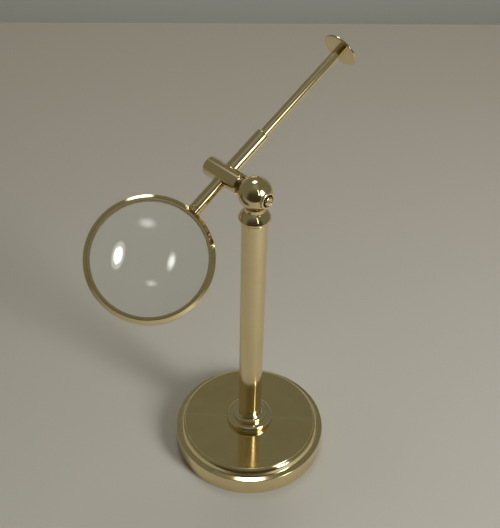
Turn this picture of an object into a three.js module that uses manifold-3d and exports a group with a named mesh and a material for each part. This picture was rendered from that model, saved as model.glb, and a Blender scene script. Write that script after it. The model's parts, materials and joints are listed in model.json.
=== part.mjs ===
import * as THREE from 'three';
import { mergeVertices } from 'three/addons/utils/BufferGeometryUtils.js';
import Module from 'manifold-3d';

// A stand magnifier: a framed lens on a sliding arm, carried by a ball head on a column and a weighted base.
// Millimetres, Z up. The origin is the middle of the felt's underside.
// The crossbar lies along +Y from the ball. The arm crosses it square in the XZ plane, lens end towards -X.

// Gaps
const seatGap = 0.3;              // between pieces that rest on each other
const slideGap = 0.2;             // between tubes that slide or turn in each other
const threadOverhang = 1.2;       // thread past its nut
const overrun = 1;                // of a cut past the face that it opens

// Base
const baseRadius = 63.5;
const rimHeight = 0.4;            // shell's rim over the table
const wallHeight = 15.9;
const arrisStep = 0.3;
const rollRadius = 3;
const filletWidth = 0.9;
const coveRadius = 3;
const lipStep = 0.6;
const lipDrop = 0.6;
const lipRound = 0.3;
const plateThickness = 3.2;
const shellWall = 2.5;
const shoulderDrop = 1.4;         // cavity's shoulder below the roll
const feltThickness = 1.2;
const weightWellPlay = 3;         // round the foot washer
const rollCentreRadius = baseRadius - arrisStep - rollRadius;
const coveCentreRadius = rollCentreRadius - filletWidth;
const plateRadius = coveCentreRadius - coveRadius - lipStep;
const plateHeight = wallHeight + rollRadius + coveRadius + lipDrop;
const plateUnderside = plateHeight - plateThickness;
const cavityRadius = baseRadius - shellWall;
const cavityShoulderHeight = wallHeight - shoulderDrop;
const cavityTopRadius = coveCentreRadius - coveRadius - shellWall;

// Foot fastening
const studRadius = 2.9;
const studPlay = 0.5;
const studRecess = 2;             // stud's end below the plug's top
const footWasherRadius = 9;
const footWasherThickness = 1.3;
const footNutAcrossFlats = 10;
const footNutHeight = 5;
const plugLength = 16.1;
const studHoleRadius = studRadius + studPlay;
const studTappedRadius = studRadius + seatGap;
const washerTop = plateUnderside - seatGap;
const footNutTop = washerTop - footWasherThickness - seatGap;
const studBottom = footNutTop - footNutHeight - threadOverhang;

// Column
const columnRadius = 9.65;
const columnWall = 1.65;
const columnLength = 203.4;
const columnInnerRadius = columnRadius - columnWall;
const plugRadius = columnInnerRadius - slideGap;

// Foot collar
const footLipWall = 0.35;
const footTaper = 0.7;
const footBeadReach = 2.9;
const flangeReach = 5.7;
const flangeRound = 2.7;
const footBeadRound = 1.6;
const footLipRise = 1.2;
const footFloorThickness = 4.8;
const footLipRadius = columnRadius + seatGap + footLipWall;
const footTopRadius = footLipRadius + footTaper;
const footBeadRadius = footTopRadius + footBeadReach;
const flangeRadius = footBeadRadius + flangeReach;
const footBottom = plateHeight + seatGap;
const flangeTop = footBottom + flangeRound + flangeRound;
const footBeadTop = flangeTop + footBeadRound + footBeadRound;
const footCollarTop = footBeadTop + footLipRise;
const footFloor = footBottom + footFloorThickness;
const columnBottom = footFloor + seatGap;
const columnTop = columnBottom + columnLength;
const plugTop = columnBottom + plugLength;
const studTop = plugTop - studRecess;

// Ball head
const ballRadius = 12.4;
const neckRadius = 7.6;
const neckRound = 4;
const neckLength = 13.3;          // from the cap to the ball's centre
const swivelSpigotRadius = 3.9;
const swivelWasherPlay = 1;
const swivelWasherThickness = 0.8;
const swivelNutAcrossFlats = 11;
const swivelNutHeight = 5;
const bossProud = 0.6;
const bossRim = 1.6;              // round the screw's well
const screwWellPlay = 0.4;
const screwWellDepth = 4;
const swivelWasherRadius = columnInnerRadius - swivelWasherPlay;

// Column cap
const capSpigotLength = 10;
const capSeatOverhang = 0.25;
const capOverhang = 2.35;
const capEdgeRound = 0.8;
const capEdgeRise = 2.6;
const capHeight = 9.3;
const capWaistRound = 4;
const capSeat = columnTop + seatGap;
const capSeatRadius = columnRadius + capSeatOverhang;
const capEdgeCentreRadius = columnRadius + capOverhang - capEdgeRound;
const capEdgeHeight = capSeat + capEdgeRise;
const capTop = capSeat + capHeight;
const capBoreRadius = swivelSpigotRadius + seatGap;
const ballHeight = capTop + neckLength;
const swivelWasherTop = capSeat - capSpigotLength - seatGap;
const swivelNutTop = swivelWasherTop - swivelWasherThickness - seatGap;
const swivelSpigotBottom = swivelNutTop - swivelNutHeight - threadOverhang;

// Arm, measured along it from where it crosses the crossbar
const armTiltDegrees = 29.14;
const rodRadius = 3.8;
const rodTop = 127.7;
const rodTailRadius = 1.8;
const rodTipRadius = 2.2;
const guideWall = 0.9;
const guideLowerEnd = 32.4;       // below the crossing
const guideSetback = 0.5;         // inside the sleeve's end
const guideCollarTop = 1.2;       // below the crossing
const guideCollarThickness = 1.7;
const springSlotWidth = 0.7;
const springSlotLength = 12;
const sleeveWall = 0.5;
const sleeveEnd = 39.8;
const sleeveRingLength = 0.8;
const discRadius = 14.4;
const discThickness = 2;
const discRound = 0.9;
const ferruleLength = 1.8;
const guideInnerRadius = rodRadius + slideGap;
const guideRadius = guideInnerRadius + guideWall;
const guideUpperEnd = sleeveEnd - guideSetback;
const guideCollarBottom = guideCollarTop + guideCollarThickness;
const sleeveInnerRadius = guideRadius + slideGap;
const sleeveRadius = sleeveInnerRadius + sleeveWall;
const sleeveSeat = guideCollarTop - seatGap;
const guideCollarRadius = sleeveRadius;
const ferruleTop = guideLowerEnd + seatGap;
const discBottom = rodTop + seatGap;
const rodTailHoleRadius = rodTailRadius + seatGap;
const rodTipHoleRadius = rodTipRadius + seatGap;

// Crossbar, measured along it from the ball's centre
const crossbarWall = 1.7;         // beside the sleeve
const crossbarLength = 34.1;
const crossbarBevel = 0.7;
const armPlace = 16.45;           // from the crossbar's near end
const journalRadius = 3.2;
const journalSetback = 0.6;       // inside the screw's well floor
const tappedDepth = 9;
const tapRunout = 0.4;            // past the screw's tip
const thrustWasherInset = 0.2;
const thrustWasherThickness = 0.8;
const screwWasherThickness = 0.6;
const screwShankRadius = 1.6;
const screwHeadRadius = 4.2;
const screwHeadThickness = 2.7;
const screwHeadRound = 0.6;
const slotWidth = 0.9;
const slotDepth = 1.2;
const slotDegrees = 25;
const screwWellRadius = screwHeadRadius + screwWellPlay;
const bossRadius = screwWellRadius + bossRim;
const bossReach = ballRadius + bossProud;
const screwWellFloor = bossReach - screwWellDepth;
const crossbarRadius = sleeveRadius + seatGap + crossbarWall;
const crossbarNearEnd = bossReach + seatGap + thrustWasherThickness + seatGap;
const crossbarFarEnd = crossbarNearEnd + crossbarLength;
const armOffset = crossbarNearEnd + armPlace;
const journalTip = screwWellFloor - journalSetback;
const journalBoreRadius = journalRadius + seatGap;
const tappedRadius = screwShankRadius + seatGap;
const tappedEnd = tappedDepth - journalTip;
const thrustWasherRadius = bossRadius - thrustWasherInset;
const screwWasherRadius = screwWellRadius - seatGap;

// Lens and frame
const lensTurnDegrees = 31.06;    // turn of the lens about the arm
const lensRadius = 43;
const lensHalfEdge = 2;
const lensBulge = 4.4;
const frameWall = 2.8;
const frameLipWidth = 2.1;
const frameLipDepth = 2.1;
const frameRound = 1.6;
const tailFloor = 0.3;            // rod's tail ends this far short of the lens's seat
const retainerWidth = 2;
const retainerThickness = 1.6;
const retainerBevel = 1.1;
const frameInnerRadius = lensRadius + seatGap;
const frameRadius = frameInnerRadius + frameWall;
const frameLipRadius = frameInnerRadius - frameLipWidth;
const retainerRadius = frameInnerRadius - seatGap;
const retainerInnerRadius = retainerRadius - retainerWidth;
const lensOffset = ferruleTop + ferruleLength + seatGap + frameRadius;
const lensCurve = (lensRadius ** 2 + lensBulge ** 2) / (lensBulge + lensBulge);
const lensCurveCentre = lensHalfEdge + lensBulge - lensCurve;
const lensSeatHeight = lensCurveCentre + Math.sqrt(lensCurve ** 2 - retainerInnerRadius ** 2);
const lipHeight = lensSeatHeight + seatGap;
const frameHalfDepth = lipHeight + frameLipDepth;

// Facets
const baseFacets = 56;
const frameFacets = 56;
const columnFacets = 36;
const smallFacets = 24;
const hexFacets = 6;
const roundSteps = 4;
const lensSteps = 4;
const ballSteps = 8;

const wasm = await Module();
wasm.setup();

// Outlines are [radius, height] pairs, anticlockwise as seen with the radius to the right and the height up.

// A round stretch of an outline, about a centre, between two angles in degrees
function arc([radius, height], round, fromDegrees, toDegrees, steps = roundSteps) {
  const points = [];
  for (let i = 0; i <= steps; i += 1) {
    const angle = THREE.MathUtils.degToRad(fromDegrees + (toDegrees - fromDegrees) * i / steps);
    points.push([radius + round * Math.cos(angle), height + round * Math.sin(angle)]);
  }
  return points;
}

// A body turned about Z from an outline that starts and ends on the axis
function turned(outline, facets) {
  const points = outline.map(([radius, height]) => new THREE.Vector2(radius, height));
  return new THREE.LatheGeometry(points, facets).rotateX(Math.PI / 2);
}

// A body turned about Z from an outline that closes on itself
function turnedRing(outline, facets) {
  return turned([...outline, outline[0]], facets);
}

function pin(radius, bottom, top, facets = smallFacets) {
  return turned([[0, bottom], [radius, bottom], [radius, top], [0, top]], facets);
}

function ring(innerRadius, outerRadius, bottom, top, facets = smallFacets) {
  const outline = [[innerRadius, bottom], [outerRadius, bottom], [outerRadius, top], [innerRadius, top]];
  return turnedRing(outline, facets);
}

// Swings a body turned about Z onto the crossbar's axis, its height running along +Y from the ball's centre
function onCrossbar(geometry) {
  return geometry.rotateX(-Math.PI / 2).translate(0, 0, ballHeight);
}

// Swings a body turned about Z onto the arm, its height running towards the disc from the crossing
function onArm(geometry) {
  const lean = Math.PI / 2 - THREE.MathUtils.degToRad(armTiltDegrees);
  return geometry.rotateY(lean).translate(0, armOffset, ballHeight);
}

// Faces a body turned about Z the way the lens faces and moves it to the lens end of the arm
function atLens(geometry) {
  geometry.rotateY(-Math.PI / 2).rotateZ(THREE.MathUtils.degToRad(lensTurnDegrees));
  return onArm(geometry.translate(0, 0, -lensOffset));
}

function toSolid(geometry) {
  const plain = geometry.clone();
  plain.deleteAttribute('normal');
  plain.deleteAttribute('uv');
  const merged = mergeVertices(plain);
  const corners = merged.index.array;
  const kept = [];
  for (let i = 0; i < corners.length; i += 3) {
    const [a, b, c] = [corners[i], corners[i + 1], corners[i + 2]];
    if (a !== b && b !== c && c !== a) kept.push(a, b, c);
  }
  const vertProperties = new Float32Array(merged.attributes.position.array);
  const triVerts = new Uint32Array(kept);
  return new wasm.Manifold(new wasm.Mesh({ numProp: 3, vertProperties, triVerts }));
}

function toGeometry(solid) {
  const mesh = solid.getMesh();
  const geometry = new THREE.BufferGeometry();
  geometry.setAttribute('position', new THREE.BufferAttribute(new Float32Array(mesh.vertProperties), 3));
  geometry.setIndex(new THREE.BufferAttribute(new Uint32Array(mesh.triVerts), 1));
  geometry.computeVertexNormals();
  return geometry;
}

// A body with further bodies added and others cut away
function carved(body, added, cut) {
  let solid = toSolid(body);
  for (const extra of added) solid = solid.add(toSolid(extra));
  for (const hole of cut) solid = solid.subtract(toSolid(hole));
  return toGeometry(solid);
}

// Base

function makeBaseShell() {
  const lipBottom = plateHeight - lipDrop;
  return turnedRing([
    [cavityRadius, rimHeight],
    [baseRadius, rimHeight],
    [baseRadius, wallHeight],
    ...arc([rollCentreRadius, wallHeight], rollRadius, 0, 90),
    ...arc([coveCentreRadius, lipBottom], coveRadius, 270, 180),
    [plateRadius, lipBottom],
    ...arc([plateRadius - lipRound, plateHeight - lipRound], lipRound, 0, 90, 2),
    [studHoleRadius, plateHeight],
    [studHoleRadius, plateUnderside],
    [cavityTopRadius, plateUnderside],
    [cavityRadius, cavityShoulderHeight],
  ], baseFacets);
}

function makeBaseWeight() {
  const outerRadius = cavityRadius - seatGap;
  const wellRadius = footWasherRadius + weightWellPlay;
  const bottom = feltThickness + seatGap;
  return turnedRing([
    [wellRadius, bottom],
    [outerRadius, bottom],
    [outerRadius, cavityShoulderHeight - seatGap],
    [cavityTopRadius - seatGap, plateUnderside - seatGap],
    [wellRadius, plateUnderside - seatGap],
  ], columnFacets);
}

function makeBaseFelt() {
  return pin(cavityRadius - seatGap, 0, feltThickness, baseFacets);
}

// Foot

function makeFootCollar() {
  return turnedRing([
    [studHoleRadius, footBottom],
    ...arc([flangeRadius - flangeRound, footBottom + flangeRound], flangeRound, -90, 90, roundSteps + 1),
    ...arc([footBeadRadius - footBeadRound, flangeTop + footBeadRound], footBeadRound, -90, 90),
    [footTopRadius, footBeadTop],
    [footLipRadius, footCollarTop],
    [columnRadius + seatGap, footCollarTop],
    [columnRadius + seatGap, footFloor],
    [studHoleRadius, footFloor],
  ], columnFacets);
}

function makeFootStud() {
  return pin(studRadius, studBottom, studTop);
}

function makeFootWasher() {
  return ring(studTappedRadius, footWasherRadius, washerTop - footWasherThickness, washerTop);
}

function makeNut(acrossFlats, holeRadius, top, height) {
  const cornerRadius = acrossFlats / 2 / Math.cos(Math.PI / hexFacets);
  const body = pin(cornerRadius, top - height, top, hexFacets);
  return carved(body, [], [pin(holeRadius, top - height - overrun, top + overrun)]);
}

function makeFootPlug() {
  return ring(studTappedRadius, plugRadius, columnBottom, plugTop);
}

// Column

function makeColumnTube() {
  return ring(columnInnerRadius, columnRadius, columnBottom, columnTop, columnFacets);
}

function makeColumnCap() {
  return turnedRing([
    [capBoreRadius, capSeat - capSpigotLength],
    [plugRadius, capSeat - capSpigotLength],
    [plugRadius, capSeat],
    [capSeatRadius, capSeat],
    ...arc([capEdgeCentreRadius, capEdgeHeight], capEdgeRound, -60, 50, 4),
    ...arc([neckRadius + capWaistRound, capTop], capWaistRound, 225, 180),
    [capBoreRadius, capTop],
  ], columnFacets);
}

// Head

// The neck's fillet touches the ball where the line between their centres meets it.
function neckOutline() {
  const filletCentreRadius = neckRadius + neckRound;
  const drop = Math.sqrt((ballRadius + neckRound) ** 2 - filletCentreRadius ** 2);
  const joinDegrees = THREE.MathUtils.radToDeg(Math.atan2(drop, filletCentreRadius));
  return [
    [swivelSpigotRadius, capTop + seatGap],
    [neckRadius, capTop + seatGap],
    ...arc([filletCentreRadius, ballHeight - drop], neckRound, 180, 180 - joinDegrees, 4),
    ...arc([0, ballHeight], ballRadius, -joinDegrees, 90, ballSteps).slice(1),
  ];
}

function makeKnuckleBall() {
  const outline = neckOutline();
  outline[outline.length - 1][0] = 0;
  const body = turned([[0, swivelSpigotBottom], [swivelSpigotRadius, swivelSpigotBottom], ...outline], columnFacets);
  const boss = onCrossbar(pin(bossRadius, -bossReach, bossReach));
  const bore = onCrossbar(pin(journalBoreRadius, -bossReach, bossReach + overrun));
  const well = onCrossbar(pin(screwWellRadius, -bossReach - overrun, -screwWellFloor));
  return carved(body, [boss], [bore, well]);
}

function makeSwivelWasher() {
  return ring(capBoreRadius, swivelWasherRadius, swivelWasherTop - swivelWasherThickness, swivelWasherTop);
}

// Crossbar

function makeCrossbar() {
  const body = onCrossbar(turned([
    [0, tappedEnd],
    [tappedRadius, tappedEnd],
    [tappedRadius, -journalTip],
    [journalRadius, -journalTip],
    [journalRadius, crossbarNearEnd],
    [crossbarRadius - crossbarBevel, crossbarNearEnd],
    [crossbarRadius, crossbarNearEnd + crossbarBevel],
    [crossbarRadius, crossbarFarEnd - crossbarBevel],
    [crossbarRadius - crossbarBevel, crossbarFarEnd],
    [0, crossbarFarEnd],
  ], columnFacets));
  const reach = crossbarRadius + overrun;
  const guideHole = onArm(pin(guideRadius + slideGap, -reach, reach));
  const sleeveHole = onArm(pin(sleeveRadius + seatGap, -guideCollarBottom - seatGap, reach));
  return carved(body, [], [guideHole, sleeveHole]);
}

function makeThrustWasher() {
  const start = bossReach + seatGap;
  return onCrossbar(ring(journalBoreRadius, thrustWasherRadius, start, start + thrustWasherThickness));
}

function makeScrewWasher() {
  const start = -screwWellFloor - seatGap;
  return onCrossbar(ring(tappedRadius, screwWasherRadius, start - screwWasherThickness, start));
}

function makePivotScrew() {
  const under = -screwWellFloor - seatGap - screwWasherThickness - seatGap;
  const top = under - screwHeadThickness;
  const body = onCrossbar(turned([
    [0, top],
    ...arc([screwHeadRadius - screwHeadRound, top + screwHeadRound], screwHeadRound, -90, 0, 3),
    [screwHeadRadius, under],
    [screwShankRadius, under],
    [screwShankRadius, tappedEnd - tapRunout],
    [0, tappedEnd - tapRunout],
  ], smallFacets));
  const slot = new THREE.BoxGeometry(screwHeadRadius * 2 + overrun, slotWidth, slotDepth * 2);
  slot.rotateZ(THREE.MathUtils.degToRad(slotDegrees)).translate(0, 0, top);
  return carved(body, [], [onCrossbar(slot)]);
}

// Arm

function makeSleeveTube() {
  return onArm(ring(sleeveInnerRadius, sleeveRadius, -sleeveSeat, sleeveEnd));
}

function makeSleeveRing() {
  const start = sleeveEnd + seatGap;
  return onArm(ring(guideInnerRadius, sleeveRadius, start, start + sleeveRingLength));
}

function makeGuideTube() {
  const body = turnedRing([
    [guideInnerRadius, -guideLowerEnd],
    [guideRadius, -guideLowerEnd],
    [guideRadius, -guideCollarBottom],
    [guideCollarRadius, -guideCollarBottom],
    [guideCollarRadius, -guideCollarTop],
    [guideRadius, -guideCollarTop],
    [guideRadius, guideUpperEnd],
    [guideInnerRadius, guideUpperEnd],
  ], smallFacets);
  const slots = [];
  for (let turn = 0; turn < 2; turn += 1) {
    const slot = new THREE.BoxGeometry(guideRadius * 2 + overrun, springSlotWidth, springSlotLength * 2);
    slots.push(slot.rotateZ(Math.PI / 2 * turn).translate(0, 0, guideUpperEnd));
  }
  return onArm(carved(body, [], slots));
}

function makeSlideRod() {
  return onArm(turned([
    [0, frameInnerRadius + tailFloor - lensOffset],
    [rodTailRadius, frameInnerRadius + tailFloor - lensOffset],
    [rodTailRadius, -guideLowerEnd],
    [rodRadius, -guideLowerEnd],
    [rodRadius, rodTop],
    [rodTipRadius, rodTop],
    [rodTipRadius, discBottom + discThickness],
    [0, discBottom + discThickness],
  ], smallFacets));
}

function makeFingerDisc() {
  const edgeRadius = discRadius - discRound;
  return onArm(turnedRing([
    [rodTipHoleRadius, discBottom],
    ...arc([edgeRadius, discBottom + discRound], discRound, -90, 0, 3),
    ...arc([edgeRadius, discBottom + discThickness - discRound], discRound, 0, 90, 3),
    [rodTipHoleRadius, discBottom + discThickness],
  ], columnFacets));
}

function makeRodFerrule() {
  return onArm(ring(rodTailHoleRadius, guideRadius, -ferruleTop - ferruleLength, -ferruleTop));
}

// Lens

function makeLensFrame() {
  const roundCentre = frameRadius - frameRound;
  const body = atLens(turnedRing([
    [frameLipRadius, -frameHalfDepth],
    ...arc([roundCentre, frameRound - frameHalfDepth], frameRound, -90, 0, 4),
    ...arc([roundCentre, frameHalfDepth - frameRound], frameRound, 0, 90, 4),
    [frameInnerRadius, frameHalfDepth],
    [frameInnerRadius, -lipHeight],
    [frameLipRadius, -lipHeight],
  ], frameFacets));
  const tailHole = onArm(pin(rodTailHoleRadius, frameInnerRadius - overrun - lensOffset, -ferruleTop));
  return carved(body, [], [tailHole]);
}

function makeRetainingRing() {
  return atLens(turnedRing([
    [retainerInnerRadius, lipHeight],
    [retainerRadius, lipHeight],
    [retainerRadius, lipHeight + retainerThickness],
    [retainerInnerRadius + retainerBevel, lipHeight + retainerThickness],
    [retainerInnerRadius, lipHeight + retainerThickness - retainerBevel],
  ], frameFacets));
}

function makeLens() {
  const halfDegrees = THREE.MathUtils.radToDeg(Math.asin(lensRadius / lensCurve));
  const back = arc([0, -lensCurveCentre], lensCurve, -90, halfDegrees - 90, lensSteps);
  const front = arc([0, lensCurveCentre], lensCurve, 90 - halfDegrees, 90, lensSteps);
  back[0][0] = 0;
  front[lensSteps][0] = 0;
  return atLens(turned([...back, ...front], frameFacets));
}

// Materials

const brass = new THREE.MeshStandardMaterial({ color: 0xb59b5a, metalness: 1, roughness: 0.2 });
const steel = new THREE.MeshStandardMaterial({ color: 0x8c8e90, metalness: 1, roughness: 0.4 });
const iron = new THREE.MeshStandardMaterial({ color: 0x3c3d3f, metalness: 0.6, roughness: 0.7 });
const baize = new THREE.MeshStandardMaterial({ color: 0x2c5138, roughness: 1 });
const glass = new THREE.MeshStandardMaterial({ color: 0xe4ece8, roughness: 0.05, transparent: true, opacity: 0.35 });

// Assembly

const group = new THREE.Group();
group.name = 'stand_magnifier';

function addPiece(name, geometry, material) {
  const mesh = new THREE.Mesh(geometry, material);
  mesh.name = name;
  group.add(mesh);
}

addPiece('base_shell', makeBaseShell(), brass);
addPiece('base_weight', makeBaseWeight(), iron);
addPiece('base_felt', makeBaseFelt(), baize);
addPiece('foot_collar', makeFootCollar(), brass);
addPiece('foot_stud', makeFootStud(), steel);
addPiece('foot_washer', makeFootWasher(), steel);
addPiece('foot_nut', makeNut(footNutAcrossFlats, studTappedRadius, footNutTop, footNutHeight), steel);
addPiece('foot_plug', makeFootPlug(), brass);
addPiece('column_tube', makeColumnTube(), brass);
addPiece('column_cap', makeColumnCap(), brass);
addPiece('knuckle_ball', makeKnuckleBall(), brass);
addPiece('swivel_washer', makeSwivelWasher(), steel);
addPiece('swivel_nut', makeNut(swivelNutAcrossFlats, capBoreRadius, swivelNutTop, swivelNutHeight), steel);
addPiece('crossbar', makeCrossbar(), brass);
addPiece('thrust_washer', makeThrustWasher(), brass);
addPiece('screw_washer', makeScrewWasher(), steel);
addPiece('pivot_screw', makePivotScrew(), brass);
addPiece('sleeve_tube', makeSleeveTube(), brass);
addPiece('sleeve_ring', makeSleeveRing(), brass);
addPiece('guide_tube', makeGuideTube(), brass);
addPiece('slide_rod', makeSlideRod(), brass);
addPiece('finger_disc', makeFingerDisc(), brass);
addPiece('rod_ferrule', makeRodFerrule(), brass);
addPiece('lens_frame', makeLensFrame(), brass);
addPiece('retaining_ring', makeRetainingRing(), brass);
addPiece('lens', makeLens(), glass);

export default group;
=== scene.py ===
import json
import math

import bpy
from mathutils import Matrix, Vector


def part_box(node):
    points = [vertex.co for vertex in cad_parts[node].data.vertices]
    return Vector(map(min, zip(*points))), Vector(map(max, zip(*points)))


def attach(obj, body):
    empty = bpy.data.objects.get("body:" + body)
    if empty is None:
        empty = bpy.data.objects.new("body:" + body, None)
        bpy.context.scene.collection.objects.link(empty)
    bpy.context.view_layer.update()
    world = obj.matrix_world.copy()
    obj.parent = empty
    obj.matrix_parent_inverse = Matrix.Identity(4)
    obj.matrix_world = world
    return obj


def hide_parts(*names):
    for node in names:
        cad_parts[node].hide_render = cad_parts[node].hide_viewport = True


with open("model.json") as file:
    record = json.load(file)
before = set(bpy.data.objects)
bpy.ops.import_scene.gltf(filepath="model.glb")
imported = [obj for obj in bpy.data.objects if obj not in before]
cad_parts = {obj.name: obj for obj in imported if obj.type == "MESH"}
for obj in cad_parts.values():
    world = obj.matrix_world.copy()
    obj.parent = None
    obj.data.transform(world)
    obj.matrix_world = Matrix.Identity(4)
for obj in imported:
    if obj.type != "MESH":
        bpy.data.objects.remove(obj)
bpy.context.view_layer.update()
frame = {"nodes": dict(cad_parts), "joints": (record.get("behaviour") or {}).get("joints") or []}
mm = 0.001            # outlines and looks are in millimetres, the scene is in metres
weldWithin = 0.01 * mm
print("frame loaded")

# Where things sit, from the frame's joints

joints = {joint["name"]: joint for joint in frame["joints"]}
ballCentre = Vector(joints["crossbar_tilt"]["pos_m"])
crossing = Vector(joints["lens_turn"]["pos_m"])
armAxis = Vector(joints["lens_turn"]["axis"]).normalized()
lensTurn = 31.06      # degrees that the lens is turned about the arm


def spinBy(degrees, axis):
    return Matrix.Rotation(math.radians(degrees), 4, axis)


columnSeat = Matrix.Identity(4)
crossbarSeat = Matrix.Translation(ballCentre) @ spinBy(-90, "X")
armSeat = Matrix.Translation(crossing) @ Matrix.Rotation(math.acos(armAxis.z), 4, "Y")


def boxCentre(node):
    low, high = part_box(node)
    return (low + high) / 2


lensReach = (boxCentre("lens") - crossing).length
lensSeat = armSeat @ Matrix.Translation((0, 0, -lensReach)) @ spinBy(lensTurn, "Z") @ spinBy(-90, "Y")


def measure(node, seat=columnSeat):
    # a turned node's ends and radii about its own axis, in millimetres
    back = seat.inverted()
    ends, radii = [], []
    for vertex in frame["nodes"][node].data.vertices:
        spot = back @ vertex.co
        ends.append(spot.z / mm)
        radii.append(math.hypot(spot.x, spot.y) / mm)
    return {"bottom": min(ends), "top": max(ends), "inner": min(radii), "outer": max(radii)}


# Modelling helpers

def startFresh():
    if bpy.context.object and bpy.context.object.mode != "OBJECT":
        bpy.ops.object.mode_set(mode="OBJECT")
    bpy.ops.object.select_all(action="DESELECT")


def pickOnly(piece):
    startFresh()
    piece.select_set(True)
    bpy.context.view_layer.objects.active = piece


def roundStretch(radius, height, curve, fromDegrees, toDegrees, steps=10):
    # a round part of an outline: centre, curve radius and the angles that it runs between
    points = []
    for i in range(steps + 1):
        angle = math.radians(fromDegrees + (toDegrees - fromDegrees) * i / steps)
        points.append((radius + curve * math.cos(angle), height + curve * math.sin(angle)))
    return points


def roundRim(outer, bottom, top, edge, steps):
    # a rim with both of its corners rounded
    lower = roundStretch(outer - edge, bottom + edge, edge, -90, 0, steps)
    return lower + roundStretch(outer - edge, top - edge, edge, 0, 90, steps)


def tubeOutline(inner, outer, bottom, top):
    return [(inner, bottom), (outer, bottom), (outer, top), (inner, top)]


def holdFlats(points, hold=0.35):
    # adds a point near both ends of each long straight run, so that smooth shading leaves it straight
    held = points[:1]
    for here, there in zip(points, points[1:]):
        length = math.dist(here, there)
        if length > 4 * hold:
            for share in (hold / length, 1 - hold / length):
                held.append(tuple(a + (b - a) * share for a, b in zip(here, there)))
        held.append(there)
    return held


def turnPiece(name, outline, around=96, closed=True):
    # draws the outline vertex by vertex, then spins it round Z as a lathe would
    startFresh()
    bpy.ops.mesh.primitive_plane_add(size=mm)
    piece = bpy.context.object
    piece.name = name
    piece.data.name = name
    bpy.ops.object.mode_set(mode="EDIT")
    bpy.ops.mesh.select_mode(type="VERT")
    bpy.ops.mesh.merge(type="CENTER")
    points = holdFlats(outline + outline[:1] if closed else outline)
    bpy.ops.transform.translate(value=(points[0][0] * mm, 0, points[0][1] * mm))
    for here, there in zip(points, points[1:]):
        move = ((there[0] - here[0]) * mm, 0, (there[1] - here[1]) * mm)
        bpy.ops.mesh.extrude_vertices_move(TRANSFORM_OT_translate={"value": move})
    bpy.ops.mesh.select_all(action="SELECT")
    bpy.ops.mesh.remove_doubles(threshold=weldWithin)
    bpy.ops.mesh.spin(steps=around, angle=math.tau, center=(0, 0, 0), axis=(0, 0, 1))
    bpy.ops.mesh.select_all(action="SELECT")
    bpy.ops.mesh.remove_doubles(threshold=weldWithin)
    bpy.ops.mesh.normals_make_consistent(inside=False)
    bpy.ops.object.mode_set(mode="OBJECT")
    return piece


def breakEdges(piece, width, segments=3, sharp=32):
    # takes the sharpness off every hard edge, as a file and polishing would
    pickOnly(piece)
    bpy.ops.object.mode_set(mode="EDIT")
    bpy.ops.mesh.select_mode(type="EDGE")
    bpy.ops.mesh.select_all(action="DESELECT")
    bpy.ops.mesh.edges_select_sharp(sharpness=math.radians(sharp))
    bpy.ops.mesh.bevel(
        offset=width * mm, segments=segments, profile=0.5, affect="EDGES", clamp_overlap=True)
    bpy.ops.object.mode_set(mode="OBJECT")


def turnTool(name, outline, seat):
    # a turned body to join to a piece or to cut it with
    piece = turnPiece(name, outline, closed=False)
    place(piece, seat)
    return piece


def combine(piece, tool, how="DIFFERENCE"):
    # cuts a tool body away from a piece or joins it, and puts the tool back in the drawer
    pickOnly(piece)
    modifier = piece.modifiers.new(how.lower(), "BOOLEAN")
    modifier.operation = how
    modifier.solver = "EXACT"
    modifier.object = tool
    bpy.ops.object.modifier_apply(modifier=modifier.name)
    bpy.data.objects.remove(tool, do_unlink=True)


def place(piece, seat):
    pickOnly(piece)
    piece.matrix_world = seat
    bpy.ops.object.transform_apply(location=True, rotation=True, scale=True)


def finishPiece(piece, seat, body, nodes, material, smooth=38):
    place(piece, seat)
    bpy.ops.object.shade_smooth_by_angle(angle=math.radians(smooth))
    piece.data.materials.clear()
    piece.data.materials.append(material)
    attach(piece, body)
    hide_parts(*nodes)


def makeTube(name, size, edge, seat, body, node, material, around=96):
    # a plain tube or ring as long and wide as its node
    piece = turnPiece(name, tubeOutline(**size), around)
    breakEdges(piece, edge)
    finishPiece(piece, seat, body, [node], material)


# Material helpers

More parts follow.
